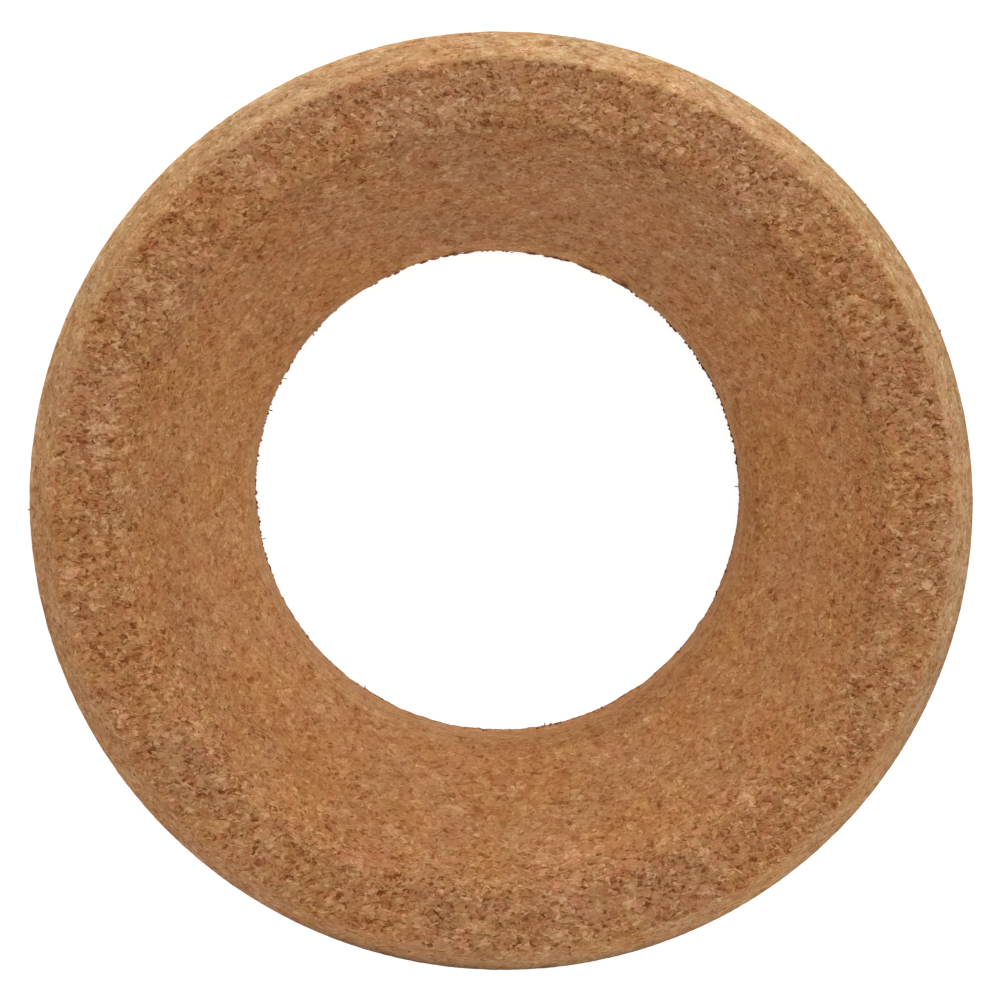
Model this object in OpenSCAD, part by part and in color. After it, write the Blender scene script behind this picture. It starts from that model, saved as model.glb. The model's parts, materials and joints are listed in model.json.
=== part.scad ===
// Cork ring: a bench stand for round-bottomed flasks, one solid body of pressed cork granules.
// The ring turns about the Z axis and its flat base lies on Z = 0.
// A funnel sunk in the top face carries the flask. Below it a short straight hole goes right
// through, so that the lowest part of the flask hangs clear of the bench.

/* [Ring] */
// Outside diameter of the ring, mm
outer_d = 140; // [115:1:250]
// Height of the ring, mm
ring_h = 30; // [18:1:90]
// Width of the flat band left on the top face, mm
rim_w = 9.5; // [4:0.5:24]

/* [Flask seat] */
// Diameter of the straight hole, mm
bore_d = 75; // [30:1:100]
// Height of the straight hole's wall, mm
bore_h = 8; // [3:0.5:22]

/* [Bevel round the top] */
// Width of the bevel, seen from above, mm
bevel_w = 4; // [2:0.5:10]
// Height of the bevel, mm
bevel_h = 6; // [2:0.5:20]

/* [Worn edges] */
// Radius between the flat band and the funnel, mm
mouth_round = 2.5; // [0.5:0.5:5]
// Radius between the funnel and the straight hole, mm
throat_round = 3; // [0.3:0.1:6]
// Radius at the upper and lower end of the bevel, mm
bevel_round = 0.8; // [0.3:0.1:2]
// Radius between the outer wall and the base, mm
base_round = 1; // [0.3:0.1:3]

/* [Hidden] */
$fn = 180;

// Colour of the pressed cork
cork_colour = [0.63, 0.44, 0.28];

// Radii of the outer wall, of the flat band's two edges and of the hole
outer_r = outer_d / 2;
band_r = outer_r - bevel_w;
mouth_r = band_r - rim_w;
bore_r = bore_d / 2;

// Half of the ring's section, its corners still sharp, as [radius, height] going round
BASE_IN = [bore_r, 0];
BASE_OUT = [outer_r, 0];
BEVEL_LOW = [outer_r, ring_h - bevel_h];
BEVEL_TOP = [band_r, ring_h];
MOUTH = [mouth_r, ring_h];
THROAT = [bore_r, bore_h];

// How far a corner's cutter reaches, as a multiple of the arc's radius
CUTTER_REACH = 1.5;
// What an arc is larger than its round by, so that it crosses the edges and doesn't just touch them
ARC_LAP = 0.001;

// Unit vector that points from a to b
function toward(a, b) = (b - a) / norm(b - a);

// Half of the angle that a corner's two edges enclose
function half_angle(before, corner, after) =
    acos(toward(corner, before) * toward(corner, after)) / 2;

// Centre of the arc of radius r that rounds a corner
function arc_centre(before, corner, after, r) =
    let (inward = toward(corner, before) + toward(corner, after))
    corner + inward / norm(inward) * r / sin(half_angle(before, corner, after));

// Point on the edge from corner to neighbour where that arc ends
function tangent_point(corner, neighbour, r, half) =
    corner + toward(corner, neighbour) * r / tan(half);

// What a rounded corner loses: all that lies between the arc's two end radii, outside the arc.
// The radii run on past the edges, so that the cutter ends outside the section.
module corner_tip(before, corner, after, r) {
    half = half_angle(before, corner, after);
    centre = arc_centre(before, corner, after, r);
    end_before = tangent_point(corner, before, r, half) - centre;
    end_after = tangent_point(corner, after, r, half) - centre;
    translate(centre)
        difference() {
            polygon([
                [0, 0],
                end_before * CUTTER_REACH,
                (corner - centre) * CUTTER_REACH,
                end_after * CUTTER_REACH
            ]);
            circle(r + ARC_LAP);
        }
}

// Half section of the ring, with its exposed edges rounded
module half_section() {
    difference() {
        polygon([BASE_IN, BASE_OUT, BEVEL_LOW, BEVEL_TOP, MOUTH, THROAT]);
        corner_tip(BASE_IN, BASE_OUT, BEVEL_LOW, base_round);
        corner_tip(BASE_OUT, BEVEL_LOW, BEVEL_TOP, bevel_round);
        corner_tip(BEVEL_LOW, BEVEL_TOP, MOUTH, bevel_round);
        corner_tip(BEVEL_TOP, MOUTH, THROAT, mouth_round);
        corner_tip(MOUTH, THROAT, BASE_IN, throat_round);
    }
}

// The pressed cork body
module cork_ring() {
    color(cork_colour)
        rotate_extrude()
            half_section();
}

cork_ring();
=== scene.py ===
import json
import math
import random

import bmesh
import bpy
import numpy as np
from mathutils import Matrix, Vector, noise

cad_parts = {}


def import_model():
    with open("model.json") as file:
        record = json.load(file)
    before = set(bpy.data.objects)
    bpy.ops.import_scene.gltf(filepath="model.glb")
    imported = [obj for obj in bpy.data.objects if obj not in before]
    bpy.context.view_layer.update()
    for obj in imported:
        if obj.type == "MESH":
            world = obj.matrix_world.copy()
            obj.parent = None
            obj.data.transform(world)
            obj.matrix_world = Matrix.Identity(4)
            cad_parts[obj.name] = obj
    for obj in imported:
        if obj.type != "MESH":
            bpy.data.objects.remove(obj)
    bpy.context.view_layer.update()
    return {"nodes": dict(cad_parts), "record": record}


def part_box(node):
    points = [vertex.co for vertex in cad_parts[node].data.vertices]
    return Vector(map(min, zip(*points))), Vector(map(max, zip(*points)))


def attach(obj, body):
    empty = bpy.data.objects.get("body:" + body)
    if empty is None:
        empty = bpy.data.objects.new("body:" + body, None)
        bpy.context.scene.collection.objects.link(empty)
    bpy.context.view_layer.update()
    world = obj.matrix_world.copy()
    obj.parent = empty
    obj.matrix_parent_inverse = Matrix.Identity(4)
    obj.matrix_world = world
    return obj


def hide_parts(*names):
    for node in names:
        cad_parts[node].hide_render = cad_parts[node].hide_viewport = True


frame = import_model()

MM = 0.001

# ---------------------------------------------------------------- places that the frame gives, in mm
RING_LOW, RING_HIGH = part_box("cork_ring")
MIDDLE = (RING_LOW.z + RING_HIGH.z) / 2 / MM
BORE_R = next(mount["dims"]["r_mm"] for mount in frame["record"]["mounts"]
              if mount["name"] == "through_hole")

# ---------------------------------------------------------------- node helper


class Tree:
    """Adds nodes to a shader or geometry tree, with sockets and plain numbers given alike."""

    def __init__(self, tree):
        self.tree = tree

    def add(self, kind, inputs=(), **settings):
        node = self.tree.nodes.new(kind)
        for name, value in settings.items():
            setattr(node, name, value)
        for key, value in dict(inputs).items():
            self.put(node.inputs[key], value)
        return node

    def put(self, socket, value):
        if isinstance(value, bpy.types.NodeSocket):
            self.tree.links.new(value, socket)
        else:
            socket.default_value = value

    def math(self, operation, a, b=0.0, clamp=False):
        return self.add("ShaderNodeMath", {0: a, 1: b}, operation=operation, use_clamp=clamp).outputs[0]

    def vector(self, operation, a, b=(0, 0, 0)):
        return self.add("ShaderNodeVectorMath", {0: a, 1: b}, operation=operation).outputs[0]

    def scaled(self, vector, by):
        node = self.add("ShaderNodeVectorMath", {0: vector}, operation="SCALE")
        self.put(node.inputs["Scale"], by)
        return node.outputs[0]

    def noise(self, vector, scale, detail=2.0, roughness=0.5):
        node = self.add("ShaderNodeTexNoise", {
            "Vector": vector, "Scale": scale, "Detail": detail, "Roughness": roughness})
        return node.outputs["Fac"], node.outputs["Color"]

    def cells(self, vector, scale, feature="F1"):
        node = self.add("ShaderNodeTexVoronoi", feature=feature)
        self.put(node.inputs["Vector"], vector)
        self.put(node.inputs["Scale"], scale)
        return node

    def ramp(self, value, low, high, out_low=0.0, out_high=1.0, smooth=True):
        return self.add("ShaderNodeMapRange", {
            "Value": value, "From Min": low, "From Max": high, "To Min": out_low, "To Max": out_high,
        }, interpolation_type="SMOOTHSTEP" if smooth else "LINEAR").outputs["Result"]

    def number_mix(self, factor, a, b):
        node = self.add("ShaderNodeMix", data_type="FLOAT")
        self.put(node.inputs[0], factor)
        self.put(node.inputs[2], a)
        self.put(node.inputs[3], b)
        return node.outputs[0]

    def mix(self, factor, a, b, blend="MIX"):
        node = self.add("ShaderNodeMix", data_type="RGBA", blend_type=blend)
        self.put(node.inputs[0], factor)
        self.put(node.inputs[6], a)
        self.put(node.inputs[7], b)
        return node.outputs[2]


# ---------------------------------------------------------------- granules, shared by mesh and material
# The block was pressed, so its granules are longest along X and flattest along Z
PRESSED = (0.90, 1.22, 1.38)
# Sizes of the granules in mm
CHIP, GRAIN, DUST = 1.9, 1.05, 0.55
# How many places show a whole chip, and how many only dust
CHIP_SHARE, DUST_SHARE = 0.12, 0.72
# How far a granule's grain is drawn out its own way, and its width in mm
SHRED, SHRED_WIDTH = 0.7, 0.75


def level(t, place, size):
    """One size of granule: its random numbers, distance from its middle, and a random slope across it."""
    cell = t.cells(place, 1 / size)
    seed = cell.outputs["Color"]
    away = t.scaled(t.vector("SUBTRACT", place, cell.outputs["Position"]), 1 / size)
    slope = t.add("ShaderNodeVectorMath", {0: away, 1: t.vector("SUBTRACT", seed, (0.5, 0.5, 0.5))},
                  operation="DOT_PRODUCT").outputs["Value"]
    return {"colour": seed, "seed": t.add("ShaderNodeSeparateXYZ", {0: seed}).outputs,
            "far": cell.outputs["Distance"], "slope": slope}


def granules(t, place):
    """The cork's granules at a place in mm: their tones, the hollows between them, and their height."""
    pressed = t.vector("MULTIPLY", place, PRESSED)
    _, wander = t.noise(pressed, 0.75, 1.0, 0.6)
    _, shiver = t.noise(pressed, 2.0, 0.0, 0.5)
    bent = t.vector("ADD", pressed, t.scaled(t.vector("SUBTRACT", wander, (0.5, 0.5, 0.5)), 1.6))
    bent = t.vector("ADD", bent, t.scaled(t.vector("SUBTRACT", shiver, (0.5, 0.5, 0.5)), 0.7))
    chip, grain = level(t, bent, CHIP), level(t, bent, GRAIN)
    # Each granule is shredded along a way of its own
    way = t.vector("NORMALIZE", t.vector("SUBTRACT", grain["colour"], (0.5, 0.5, 0.5)))
    along = t.add("ShaderNodeVectorMath", {0: bent, 1: way}, operation="DOT_PRODUCT").outputs["Value"]
    drawn = t.vector("SUBTRACT", bent, t.scaled(way, t.math("MULTIPLY", along, SHRED)))
    shreds, _ = t.noise(drawn, 1 / SHRED_WIDTH, 1.0, 0.5)
    dust = level(t, drawn, DUST)
    whole = t.math("GREATER_THAN", chip["seed"][0], 1 - CHIP_SHARE)
    broken = t.math("GREATER_THAN", grain["seed"][1], 1 - DUST_SHARE)

    def pick(key, index=None):
        at = [level[key] if index is None else level[key][index] for level in (chip, grain, dust)]
        small = t.number_mix(broken, at[1], at[2])
        return t.number_mix(whole, small, at[0])

    far, slope, tone, lift = pick("far"), pick("slope"), pick("seed", 2), pick("seed", 1)
    torn = t.math("MULTIPLY", t.math("SUBTRACT", 0.5, shreds), 2.0)
    ragged = t.math("ADD", t.math("MULTIPLY", far, 0.55), torn)
    height = t.math("ADD", t.math("MULTIPLY", slope, 0.4), t.math("MULTIPLY", lift, 0.08))
    height = t.math("SUBTRACT", height, t.math("MULTIPLY", ragged, 0.9))
    return {
        "tone": tone,
        "shreds": shreds,
        "broad": chip["seed"],
        "smudge": t.add("ShaderNodeSeparateXYZ", {0: wander}).outputs[2],
        "hollow": ragged,
        "height": height,
    }


# ---------------------------------------------------------------- section of the ring, from the CAD mesh


def section_of(node):
    """(radius, height) corners of a turned node's section, going round from the base's inner corner."""
    raw = {(round(math.hypot(v.co.x, v.co.y) / MM, 2), round(v.co.z / MM, 2))
           for v in frame["nodes"][node].data.vertices}
    kept = []
    for point in sorted(raw):
        if all(math.dist(point, other) > 0.03 for other in kept):
            kept.append(point)
    inner, outer, high = min(p[0] for p in kept), max(p[0] for p in kept), max(p[1] for p in kept)
    middle = ((inner + outer) / 2, high / 2)
    around = sorted(kept, key=lambda p: math.atan2(p[1] - middle[1], p[0] - middle[0]))
    start = min(range(len(around)), key=lambda i: math.dist(around[i], (inner, 0)))
    thinned = []
    for point in around[start:] + around[:start]:
        if not thinned or math.dist(point, thinned[-1]) > 0.3:
            thinned.append(point)
    return [np.array(p) for p in thinned]


# For each way that the surface can face: longest row in mm, and number of columns round the ring
GRID = {"base": (4.0, 320), "wall": (2.2, 480), "bevel": (0.5, 960), "top": (0.4, 960),
        "funnel": (0.58, 640), "bore": (0.45, 640)}


def side_of(normal):
    radial, up = normal
    if up > 0.9:
        return "top"
    if up < -0.6:
        return "base"
    if radial > 0.93:
        return "wall"
    if radial < -0.93:
        return "bore"
    return "bevel" if radial > 0 else "funnel"


def rows_of(corners):
    """Rows of the lathe: (radius, height, outward normal, columns) down each straight or round stretch."""
    places, sides = [], []
    for a, b in zip(corners, corners[1:] + corners[:1]):
        along = b - a
        length = np.hypot(*along)
        normal = np.array([along[1], -along[0]]) / length
        count = max(1, math.ceil(length / GRID[side_of(normal)][0]))
        for i in range(count):
            places.append(a + along * i / count)
            sides.append(normal)
    rows = []
    for i, place in enumerate(places):
        normal = sides[i - 1] + sides[i]
        normal = normal / np.hypot(*normal)
        columns = max(GRID[side_of(sides[i - 1])][1], GRID[side_of(sides[i])][1])
        rows.append((place[0], place[1], normal, columns))
    return rows


def strip(first, n, second, m):
    """Faces between two loops of vertices that may differ in number: quads where they match."""
    if n == m:
        return [(first + k, first + (k + 1) % n, second + (k + 1) % n, second + k) for k in range(n)]
    faces, i, j = [], 0, 0
    while i < n or j < m:
        if j == m or (i < n and (i + 1) * m <= (j + 1) * n):
            faces.append((first + i % n, first + (i + 1) % n, second + j % m))
            i += 1
        else:
            faces.append((first + i % n, second + (j + 1) % m, second + j % m))
            j += 1
    return faces


def fade(value, low, high):
    """0 at low, 1 at high, eased in between."""
    x = min(1.0, max(0.0, (value - low) / (high - low)))
    return x * x * (3 - 2 * x)


# ---------------------------------------------------------------- form of the walls, in mm
OUT_OF_ROUND = 0.3      # the ring is this much longer along the diagonal at -45 degrees
BEVEL_SWELL = 0.25      # how far the middle of the bevel stands out
HOLE_WAVE = 0.16        # how far the hole's wall wanders in and out
TURN_SQUEEZE = 0.14     # how much shorter a turning mark is across the ring than along it

# ---------------------------------------------------------------- washes and where they lie
# Directions round the ring, as angles from X in radians
# The bevel's skin gets a painted sheen from the key light round the first of these, and weaker painted light
# round the second
BEVEL_LIT, BEVEL_SECOND_LIGHT = math.radians(60), math.radians(298)
# Round the first of these the outer edge gets a painted highlight, round the second painted shade
EDGE_PALE, EDGE_DARK = math.radians(140), math.radians(268)
FUNNEL_COOL, FUNNEL_SHADED = math.radians(78), math.radians(222)
# Painted shade falls on the bevel and low on the hole's wall round the first of these, and on the hole's lip
# round the second
RIGHT_SIDE, LOWER_RIGHT = 0.6, 5.6
EDGE_SHADE_TRAIL = 0.75       # how far past EDGE_DARK the painted shade on the edge thins out
# Heights of the paler lip above the top of the hole's wall, in mm, which is partly rubbed and partly painted
# light: it turns pale from LIP_FROM to LIP_FULL, and goes back to the funnel's colour from LIP_FADES to
# LIP_ENDS
LIP_FROM, LIP_FULL, LIP_FADES, LIP_ENDS = -0.76, 0.24, 1.44, 2.84
# How open the cork is cut, where 1 is fully open: on the bevel, on the walls and funnel, and on the base
SMOOTH, SKIN, BASE_CUT = 0.40, 0.46, 0.75
# Washes multiply the cork's colour: red, green, blue
PLAIN = Vector((1, 1, 1))
# The bevel's skin toward the key light, with a painted sheen, and away from it, in painted shade
LIT_BEVEL, SHADED_BEVEL = Vector((0.93, 1.22, 1.52)), Vector((0.93, 1.00, 1.10))
FUNNEL, COOL_FUNNEL = Vector((0.995, 0.995, 0.985)), Vector((0.99, 1.04, 1.19))
BAND = Vector((1.0, 1.015, 1.05))
# The hole's paler lip, partly rubbed and partly painted light, and its far side, a painted highlight
RUBBED_AND_LIT, BRIGHT_LIP = Vector((0.99, 1.07, 1.16)), Vector((1.17, 1.29, 1.48))
EDGE_HIGHLIGHT = Vector((0.8, 1.05, 1.4))       # the painted highlight that the outer edge adds to each colour
# Torn crumbs are dark; the same dark is painted as contact shadow at the base of the hole's wall
TORN_DARK_AND_SHADE, TORN_PALE = Vector((0.38, 0.29, 0.27)), Vector((0.85, 0.80, 0.85))


def unround(angle):
    """How far every wall moves out at an angle, in mm."""
    return -OUT_OF_ROUND * math.sin(2 * angle)


def hole_wave(out):
    """How far the hole's wall moves out at a place round the ring, in mm."""
    at = out * BORE_R
    return HOLE_WAVE * (noise.noise(at * 0.23) + 0.4 * noise.noise(at * 0.7))


def crumb(rng, centre, size, long_way):
    """A closed chip of 20 facets: corners and faces, in mm."""
    corners, faces = [], []
    bm = bmesh.new()
    bmesh.ops.create_icosphere(bm, subdivisions=1, radius=1.0)
    turn = long_way.to_track_quat("Z", "Y").to_matrix() @ Matrix.Rotation(rng.uniform(0, math.tau), 3, "Z")
    for v in bm.verts:
        corners.append(centre + turn @ (v.co * rng.uniform(0.65, 1.2) * size))
    faces = [tuple(v.index for v in f.verts) for f in bm.faces]
    bm.free()
    return corners, faces


# Where torn crumbs cling to the hole's edge: from and to in degrees round the ring, how many, and
# their smallest and largest reach in mm
CRUMB_ARCS = ((5, 62, 115, 0.10, 0.36), (62, 125, 60, 0.10, 0.36), (125, 202, 125, 0.08, 0.30),
              (202, 345, 60, 0.09, 0.30), (345, 365, 14, 0.08, 0.22))
# Degrees round the ring where a splinter stands into the hole, and where a short fibre stands out of
# the outer edge
SPLINTERS = (1, 23, 139, 152, 160, 183.5, 191, 236, 281)
LINT = (22, 40, 180)
# Heights in mm: crumbs and splinters above the base, and how far crumbs spread up the far lip
CRUMB_LOW, CRUMB_HIGH = 0.6, 2.0
SPLINTER_LOW, SPLINTER_HIGH = 1.0, 1.6
LIP_SPREAD = 1.3
# Half widths in mm
SPLINTER_THICK, LINT_THICK = (0.09, 0.11), (0.15, 0.17)
LINT_ROOT = 0.05        # how deep a fibre is rooted, in mm
ROOTED = 0.6            # how much of its half length a fibre's or splinter's middle stands out


def hole_wall(angle, out, height):
    """A point on the hole's wall, as it lies once it has been moved, in mm."""
    return out * (BORE_R + unround(angle) + hole_wave(out)) + Vector((0, 0, height))


def crumbs(edges):
    """Every chip that clings to the ring: corners, faces, the wall's place there and its facing, and its
    colour, which on the slivers along the far lip is partly painted shade.
    """
    rng = random.Random(11)
    made = []
    for low, high, count, least, most in CRUMB_ARCS:
        for _ in range(count):
            angle = math.radians(rng.uniform(low, high))
            out = Vector((math.cos(angle), math.sin(angle), 0))
            far_edge = out.y > 0.85
            if far_edge:
                height = edges.wall_top + rng.uniform(0.0, LIP_SPREAD)
            else:
                height = rng.uniform(CRUMB_LOW, CRUMB_HIGH)
            reach = least + (most - least) * rng.random() ** 1.6
            size, way = Vector((reach * rng.uniform(0.7, 1.3), reach * rng.uniform(0.9, 1.9), reach)), -out
            if far_edge:    # flat slivers that lie along the edge; their dark colour also stands in for the shade under the far lip
                size = Vector((reach * 0.6, reach * 0.6, reach * rng.uniform(1.6, 3.2)))
                way = Vector((-out.y, out.x, 0))
            wall = hole_wall(angle, out, height)
            paler = rng.random() * (0.8 if far_edge else fade(-out.x, -0.8, 0.5))
            centre = wall - out * rng.uniform(-0.03, 0.08)
            made.append((*crumb(rng, centre, size, way), wall, -out, TORN_DARK_AND_SHADE.lerp(TORN_PALE, paler)))
    for degrees in SPLINTERS:
        angle = math.radians(degrees)
        out = Vector((math.cos(angle), math.sin(angle), 0))
        side = Vector((-out.y, out.x, 0))
        way = -out + side * rng.uniform(-0.7, 0.7) + Vector((0, 0, rng.uniform(-0.2, 0.2)))
        way.normalize()
        long = rng.uniform(0.35, 0.7)
        wall = hole_wall(angle, out, rng.uniform(SPLINTER_LOW, SPLINTER_HIGH))
        size = Vector((*SPLINTER_THICK, long))
        made.append((*crumb(rng, wall + way * long * ROOTED, size, way), wall, -out, TORN_DARK_AND_SHADE))
    for degrees in LINT:
        angle = math.radians(degrees)
        out = Vector((math.cos(angle), math.sin(angle), 0))
        wall = out * (edges.widest - LINT_ROOT + unround(angle)) + Vector((0, 0, edges.edge_height))
        long = rng.uniform(0.14, 0.19)
        size = Vector((*LINT_THICK, long))
        made.append((*crumb(rng, wall + out * long * ROOTED, size, out), wall, out, TORN_PALE))
    return made


# ---------------------------------------------------------------- the ring, place by place


class Edges:
    """Where the section's edges lie, in mm: radii of the mouth, the band's rim and the outer wall,
    and the greatest heights at which the outer wall and the hole's wall are still upright."""

    def __init__(self, rows):
        top = max(r[1] for r in rows)
        self.mouth = min(r[0] for r in rows if r[1] > top - 0.01)
        self.rim = max(r[0] for r in rows if r[1] > top - 0.01)
        self.widest = max(r[0] for r in rows)
        self.edge_height = max(r[1] for r in rows if r[0] > self.widest - 0.05)
        self.wall_top = max(r[1] for r in rows if r[0] < BORE_R + 0.05)


class Spot:
    """One place on the ring's surface, and how it is cut, washed and moved."""

    def __init__(self, radius, height, normal, angle, edges):
        self.radius, self.height, self.angle, self.edges = radius, height, angle, edges
        self.radial, self.up = normal
        self.side = side_of(normal)
        self.out = Vector((math.cos(angle), math.sin(angle), 0))
        self.at = self.out * radius + Vector((0, 0, height))
        self.over = (radius - edges.rim) / (edges.widest - edges.rim)
        self.open = self.up > 0.3 and radius < edges.rim + 0.3
        self.bevelled = self.up > -0.1 and self.over > 0
        # How far the place faces the key light, where the bevel's skin gets its painted sheen
        self.lit_side = (0.5 + 0.5 * math.cos(angle - BEVEL_LIT)) ** 0.7
        above = height - edges.wall_top
        self.lip = fade(above, LIP_FROM, LIP_FULL)
        # The lip and the upright wall of the hole are paler: partly rubbed, partly painted light
        rubbed_and_lit = self.lip * (1 - fade(above, LIP_FADES, LIP_ENDS))
        lower = fade(-self.radial, 0.8, 0.95) * fade(height, 0.9, 1.6)
        self.rubbed_and_lit = max(rubbed_and_lit, lower) if self.radial < -0.1 else 0.0

    def near(self, direction, low, high):
        """1 where the place lies in a direction round the ring, 0 away from it."""
        return fade(math.cos(self.angle - direction), low, high)

    def cut(self):
        """How open the cork is cut."""
        mouth, rim = self.edges.mouth, self.edges.rim
        if self.open:
            drift = noise.noise(self.at * 0.22) + 0.5 * noise.noise(self.at * 0.6)
            rough = mouth - 6.5 - 2.5 * self.near(FUNNEL_SHADED, -0.2, 0.8)
            cut = SKIN + 0.54 * fade(self.radius + 1.6 * drift, rough, mouth + 0.5)
            cut = max(cut, SKIN + 0.20 * fade(self.radius, mouth - 12, mouth - 5))
        elif self.side == "base":
            cut = BASE_CUT
        elif self.radial > 0.3 and self.up > 0.3:
            cut = SMOOTH + 0.12 * (1 - self.lit_side) * (1 - fade(self.radius, rim + 0.8, rim + 3.5))
        else:
            cut = SKIN
        return cut - 0.2 * self.rubbed_and_lit

    def wash(self):
        """What multiplies the cork's colour."""
        wash = self.funnel_wash() if self.open else self.skin_wash()
        if self.radial < -0.1:
            wash = self.hole_wash(wash)
        if self.bevelled:
            # A painted highlight along the outer edge on one side of the ring, painted shade on the other
            edge_light = 0.34 * self.near(EDGE_PALE, 0.6, 0.95) * fade(self.over, 0.68, 0.98)
            edge_shade = 0.38 * self.near(EDGE_DARK, 0.85, 0.98) * fade(self.over, 0.35, 1)
            edge_shade += 0.16 * self.near(EDGE_DARK + EDGE_SHADE_TRAIL, 0.0, 0.7) * fade(self.over, 0.6, 1)
            wash = wash * (1 - edge_shade) + EDGE_HIGHLIGHT * edge_light
        return wash

    def skin_wash(self):
        """The skin of the bevel and of the wall: paler, with a painted sheen on the side toward the key
        light, painted shade on the far side, painted light at one more place and painted shade on the right.
        """
        rim = self.edges.rim
        rim_fade = 0.2 + 0.35 * (1 - self.lit_side)
        skin = fade(self.radial, 0.25, 0.6) * (1 - rim_fade * (1 - fade(self.radius, rim + 1, rim + 4)))
        wash = PLAIN.lerp(SHADED_BEVEL.lerp(LIT_BEVEL, self.lit_side), skin)
        wash = wash * (1 + 0.12 * skin * noise.noise(self.at * 0.11))
        # Painted light round one place on the bevel, and painted shade on its right
        second_light, dull = 0.15 * self.near(BEVEL_SECOND_LIGHT, 0.75, 1), 0.08 * self.near(RIGHT_SIDE, 0.8, 1)
        return wash * (1 + skin * (second_light - dull))

    def funnel_wash(self):
        """The band and the funnel: cooler in one direction, and darker high up in another, a painted shade.
        """
        mouth = self.edges.mouth
        cool = self.near(FUNNEL_COOL, 0.7, 0.97)
        funnel = 1 - fade(self.radius, mouth - 6, mouth)
        wash = BAND.lerp(FUNNEL, funnel).lerp(COOL_FUNNEL, cool * (0.7 + 0.3 * funnel))
        upper = fade(self.radius, mouth - 12.5, mouth - 6.5)
        # Painted shade high up in the funnel
        return wash * (1 - 0.095 * funnel * upper * self.near(FUNNEL_SHADED, 0.4, 0.85))

    def hole_wash(self, wash):
        """The hole: a paler lip, partly rubbed and partly painted light, with a painted highlight at the far
        side; painted shade on the lip at the lower right and low on the wall at the right; and painted
        contact shadow at its base.
        """
        hole_shade = self.near(LOWER_RIGHT, 0.3, 0.85)
        lip = RUBBED_AND_LIT.lerp(BRIGHT_LIP, fade(self.out.y, 0.82, 0.98))
        wash = wash.lerp(lip, self.rubbed_and_lit * (1 - 0.6 * hole_shade))
        # Painted shade on the lip at the lower right, and low on the hole's wall at the right
        wash = wash * (1 - 0.12 * hole_shade * self.lip * (1 - fade(self.height, 9.5, 12)))
        wash = wash * (1 - 0.12 * self.near(RIGHT_SIDE, 0.0, 0.7) * (1 - fade(self.height, 4, 6)))
        # Painted contact shadow along the base of the hole's wall
        torn = 0.35 * fade(-self.radial, 0.3, 0.6) * (1 - fade(self.height, 0.7, 1.1))
        return wash.lerp(TORN_DARK_AND_SHADE, torn)

    def moved(self):
        """The place once the ring is out of round, its bevel swollen and its hole uneven."""
        shift = unround(self.angle)
        if self.bevelled:
            shift += BEVEL_SWELL * 4 * self.over * (1 - self.over)
        if self.radial < 0:
            shift += hole_wave(self.out) * (1 - fade(self.height, 8, 12))
        return self.at + self.out * shift


def lathe(name):
    """The ring as one mesh, turned from the CAD's own section, with its chips."""
    rows = rows_of(section_of("cork_ring"))
    edges = Edges(rows)
    places, outs, cuts, washes, starts = [], [], [], [], []
    for radius, height, normal, columns in rows:
        starts.append(len(places))
        for k in range(columns):
            spot = Spot(radius, height, normal, 2 * math.pi * k / columns, edges)
            places.append(spot.moved())
            outs.append(spot.out * spot.radial + Vector((0, 0, spot.up)))
            cuts.append(spot.cut())
            washes.append(spot.wash())
    faces = []
    for i in range(len(rows)):
        j = (i + 1) % len(rows)
        faces += strip(starts[i], rows[i][3], starts[j], rows[j][3])
    smooth = [True] * len(faces)
    rooted = list(places)
    # The same place on a ring that is drawn in, where marks come out long round the ring
    turned = [Vector((p.x * TURN_SQUEEZE, p.y * TURN_SQUEEZE, math.hypot(p.x, p.y) + p.z))
              for p in places]
    for corners, facets, wall, facing, chip_wash in crumbs(edges):
        faces += [tuple(len(places) + i for i in facet) for facet in facets]
        places += corners
        rooted += [wall] * len(corners)
        turned += [wall] * len(corners)
        outs += [facing] * len(corners)
        cuts += [SKIN] * len(corners)
        washes += [chip_wash] * len(corners)
    smooth += [False] * (len(faces) - len(smooth))
    mesh = bpy.data.meshes.new(name)
    mesh.from_pydata([p * MM for p in places], [], faces)
    mesh.attributes.new("cut", "FLOAT", "POINT").data.foreach_set("value", cuts)
    for key, values in (("place", rooted), ("turned", turned), ("outward", outs), ("wash", washes)):
        data = mesh.attributes.new(key, "FLOAT_VECTOR", "POINT").data
        data.foreach_set("vector", np.array(values, np.float32).ravel())
    mesh.polygons.foreach_set("use_smooth", smooth)
    mesh.update()
    obj = bpy.data.objects.new(name, mesh)
    bpy.context.scene.collection.objects.link(obj)
    print(name, "triangles", sum(len(f) - 2 for f in faces))
    return obj


# How far granules stand out of the surface, in mm, where it is smoothest and where it is cut open
RELIEF_SMOOTH, RELIEF_CUT = 0.07, 0.32


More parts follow.
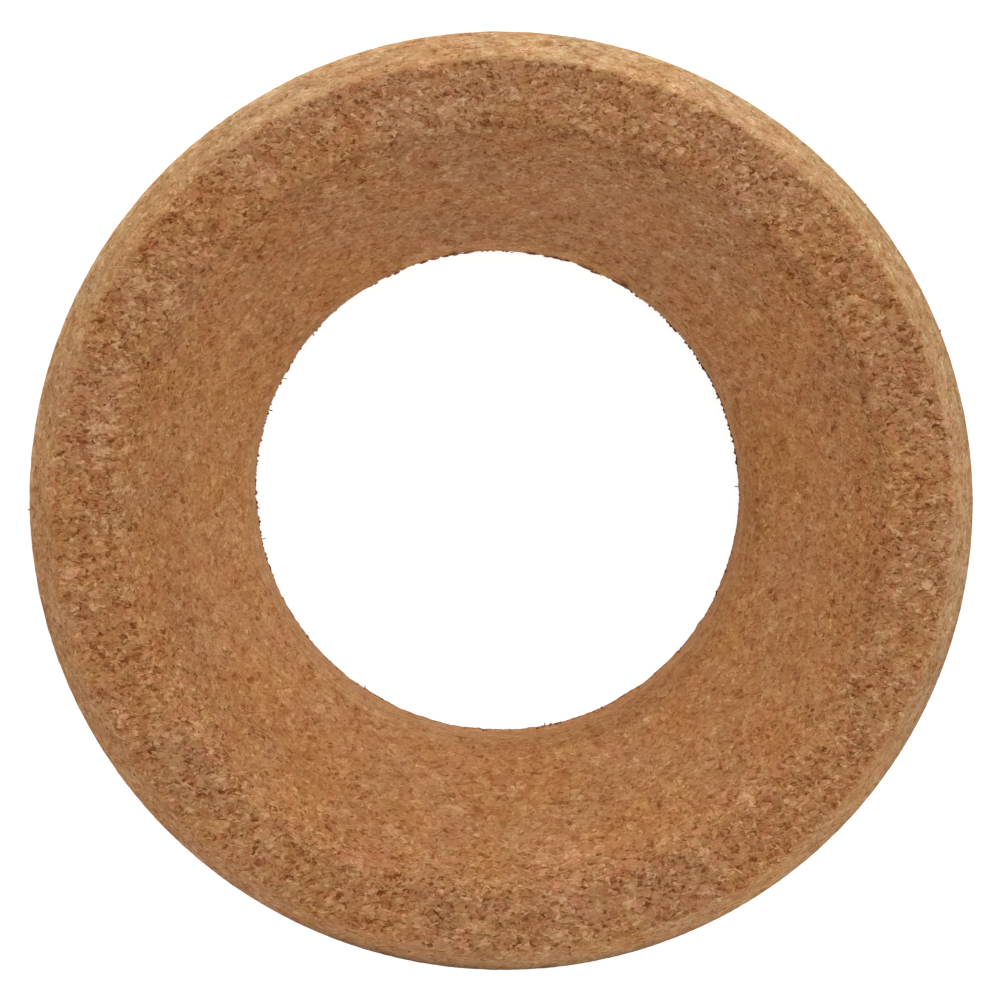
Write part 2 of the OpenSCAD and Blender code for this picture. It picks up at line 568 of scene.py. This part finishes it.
def carve(obj):
    """Moves the mesh along its normals by the granules' relief."""
    tree = bpy.data.node_groups.new("carve", "GeometryNodeTree")
    tree.interface.new_socket("Geometry", in_out="INPUT", socket_type="NodeSocketGeometry")
    tree.interface.new_socket("Geometry", in_out="OUTPUT", socket_type="NodeSocketGeometry")
    t = Tree(tree)
    start, end = t.add("NodeGroupInput"), t.add("NodeGroupOutput")

    def attribute(name, kind):
        node = t.add("GeometryNodeInputNamedAttribute", data_type=kind)
        node.inputs["Name"].default_value = name
        return node.outputs["Attribute"]

    g = granules(t, attribute("place", "FLOAT_VECTOR"))
    height = t.math("ADD", g["height"], 0.15)
    amount = t.ramp(attribute("cut", "FLOAT"), 0.4, 1, RELIEF_SMOOTH * MM, RELIEF_CUT * MM, smooth=False)
    offset = t.scaled(attribute("outward", "FLOAT_VECTOR"), t.math("MULTIPLY", height, amount))
    move = t.add("GeometryNodeSetPosition", {"Geometry": start.outputs[0], "Offset": offset})
    tree.links.new(move.outputs[0], end.inputs[0])
    modifier = obj.modifiers.new("carve", "NODES")
    modifier.node_group = tree
    bpy.context.view_layer.update()
    done = bpy.data.meshes.new_from_object(obj.evaluated_get(bpy.context.evaluated_depsgraph_get()))
    obj.modifiers.clear()
    obj.data = done
    bpy.data.node_groups.remove(tree)


# ---------------------------------------------------------------- cork material
SHADES = (
    (0.00, (0.216, 0.074, 0.0165)),
    (0.30, (0.345, 0.145, 0.0500)),
    (0.52, (0.407, 0.185, 0.0715)),
    (0.75, (0.468, 0.225, 0.0970)),
    (1.00, (0.618, 0.328, 0.1660)),
)
# Painted shade in the gaps between granules
PAINTED_GAP_SHADE = (0.58, 0.42, 0.24, 1)
BARK_SHADE = (0.58, 0.53, 0.48, 1)
GREY_SHADE, TAN_SHADE = (0.99, 1.02, 1.10, 1), (1.01, 0.98, 0.90, 1)
RED_SHADE, OLIVE_SHADE = (1.045, 0.905, 1.00, 1), (0.97, 1.045, 0.94, 1)


def cork_material():
    mat = bpy.data.materials.new("pressed_cork")
    mat.use_nodes = True
    t = Tree(mat.node_tree)
    t.tree.nodes.clear()
    place = t.add("ShaderNodeAttribute", attribute_name="place").outputs["Vector"]
    cut = t.add("ShaderNodeAttribute", attribute_name="cut").outputs["Fac"]
    wash = t.add("ShaderNodeAttribute", attribute_name="wash").outputs["Vector"]
    turned = t.add("ShaderNodeAttribute", attribute_name="turned").outputs["Vector"]
    g = granules(t, place)

    spread = t.math("MULTIPLY", t.ramp(cut, 0.46, 1, 0.47, 0.62, smooth=False),
                    t.ramp(cut, 0.30, 0.46, 0.70, 1.0, smooth=False))
    drift, _ = t.noise(place, 0.4, 2.0, 0.6)
    _, patches = t.noise(place, 0.08, 3.0, 0.65)
    patches = t.add("ShaderNodeSeparateXYZ", {0: patches}).outputs
    shredded = t.math("MULTIPLY", t.math("SUBTRACT", g["shreds"], 0.5), 2.3)
    tone = t.math("ADD", t.math("SUBTRACT", g["tone"], 0.5), shredded)
    tone = t.math("ADD", t.math("MULTIPLY", tone, spread), 0.5)
    tone = t.math("ADD", tone, t.math("MULTIPLY", t.math("SUBTRACT", drift, 0.5),
                                      t.ramp(cut, 0.40, 0.46, 0.26, 0.45, smooth=False)))
    tone = t.math("ADD", tone, t.math("MULTIPLY", t.math("SUBTRACT", patches[1], 0.5), 0.25))
    # The bevel and the hole's wall were turned, which left fine streaks round them
    streaks, _ = t.noise(turned, 2.6, 3.0, 0.65)
    skin = t.ramp(cut, 0.46, 0.40, smooth=False)
    streaks = t.math("MULTIPLY", t.math("SUBTRACT", streaks, 0.5), skin)
    tone = t.math("ADD", tone, t.math("MULTIPLY", streaks, 1.15))
    shades = t.add("ShaderNodeValToRGB", {0: tone})
    stops = shades.color_ramp.elements
    while len(stops) < len(SHADES):
        stops.new(0.5)
    for stop, (at, colour) in zip(stops, SHADES):
        stop.position = at
        stop.color = (*colour, 1)
    colour = shades.outputs["Color"]
    # Darker places are redder, and paler ones more olive
    hue = t.math("SUBTRACT", t.math("ADD", t.math("MULTIPLY", patches[2], 0.35), 1), drift)
    redder = t.math("MULTIPLY", t.ramp(hue, 0.62, 0.98), t.ramp(cut, 0.46, 0.9, 0.6, 1.0))
    colour = t.mix(redder, colour, RED_SHADE, "MULTIPLY")
    colour = t.mix(t.ramp(hue, 0.74, 0.38), colour, OLIVE_SHADE, "MULTIPLY")
    # The gaps between granules get painted shade, and a stray bit of bark is dark
    hollow_shade = t.math("MULTIPLY", t.ramp(g["hollow"], 0.38, 0.72), t.ramp(cut, 0.4, 1, 0.3, 0.65, smooth=False))
    colour = t.mix(hollow_shade, colour, PAINTED_GAP_SHADE, "MULTIPLY")
    bark = t.math("MULTIPLY", t.ramp(g["smudge"], 0.68, 0.76), t.ramp(cut, 0.6, 0.9))
    colour = t.mix(bark, colour, BARK_SHADE, "MULTIPLY")
    # Over wider stretches the cork is greyer or more tan
    wide = t.mix(t.ramp(patches[0], 0.35, 0.65), GREY_SHADE, TAN_SHADE)
    colour = t.mix(t.ramp(cut, 0.40, 0.46, 0.7, 1.0), colour, wide, "MULTIPLY")
    colour = t.scaled(colour, t.ramp(cut, 0.55, 1, 1.0, 0.86))
    colour = t.vector("MULTIPLY", colour, wash)

    height = g["height"]
    bump = t.add("ShaderNodeBump", {
        "Strength": t.ramp(cut, 0.3, 1, 0.1, 0.35, smooth=False), "Distance": 0.4 * MM, "Height": height})
    rough = t.ramp(tone, 0, 1, 0.95, 0.75, smooth=False)
    shader = t.add("ShaderNodeBsdfPrincipled", {
        "Base Color": colour, "Roughness": rough, "Normal": bump.outputs["Normal"],
        "Specular IOR Level": 0.05})
    t.add("ShaderNodeOutputMaterial", {"Surface": shader.outputs[0]})
    return mat


ring = lathe("ring_body")
carve(ring)
ring.data.materials.append(cork_material())
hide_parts("cork_ring")
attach(ring, "root")

# ---------------------------------------------------------------- floor, light and camera


def floor():
    bpy.ops.mesh.primitive_plane_add(size=3.0, location=(0, 0, -0.0002))
    plane = bpy.context.object
    plane.name = "floor"
    mat = bpy.data.materials.new("pale_floor")
    mat.use_nodes = True
    shader = mat.node_tree.nodes["Principled BSDF"]
    shader.inputs["Base Color"].default_value = (0.4, 0.4, 0.4, 1)
    shader.inputs["Roughness"].default_value = 0.9
    shader.inputs["Specular IOR Level"].default_value = 0
    shader.inputs["Emission Color"].default_value = (1, 1, 1, 1)
    shader.inputs["Emission Strength"].default_value = 0.8
    plane.data.materials.append(mat)


def area_light(name, azimuth, elevation, distance, width, height, power):
    data = bpy.data.lights.new(name, "AREA")
    data.shape = "RECTANGLE"
    data.size = width
    data.size_y = height
    data.energy = power
    lamp = bpy.data.objects.new(name, data)
    a, e = math.radians(azimuth), math.radians(elevation)
    way = Vector((math.cos(a) * math.cos(e), math.sin(a) * math.cos(e), math.sin(e)))
    lamp.location = way * distance
    lamp.rotation_euler = way.to_track_quat("Z", "Y").to_euler()
    bpy.context.scene.collection.objects.link(lamp)


def world():
    w = bpy.data.worlds.new("studio")
    w.use_nodes = True
    back = w.node_tree.nodes["Background"]
    back.inputs["Color"].default_value = (1, 1, 1, 1)
    back.inputs["Strength"].default_value = 0.82
    bpy.context.scene.world = w


def camera():
    data = bpy.data.cameras.new("camera")
    data.sensor_width = 36
    data.lens = 118.8
    cam = bpy.data.objects.new("camera", data)
    cam.location = Vector((-18.4, 53.0, 510)) * MM
    target = Vector((-0.22, 0.22, MIDDLE)) * MM
    back = (cam.location - target).normalized()
    side = Vector((0, 1, 0)).cross(back).normalized()
    up = back.cross(side)
    cam.rotation_euler = Matrix((side, up, back)).transposed().to_euler()
    bpy.context.scene.collection.objects.link(cam)
    bpy.context.scene.camera = cam


floor()
world()
area_light("key", 70, 42, 1.4, 0.8, 0.8, 7.6)
area_light("fill", 265, 45, 1.4, 0.8, 0.8, 1.2)
area_light("low_side", 74, 3.5, 1.3, 1.0, 0.14, 7.2)
camera()
bpy.context.scene.view_settings.view_transform = "Standard"
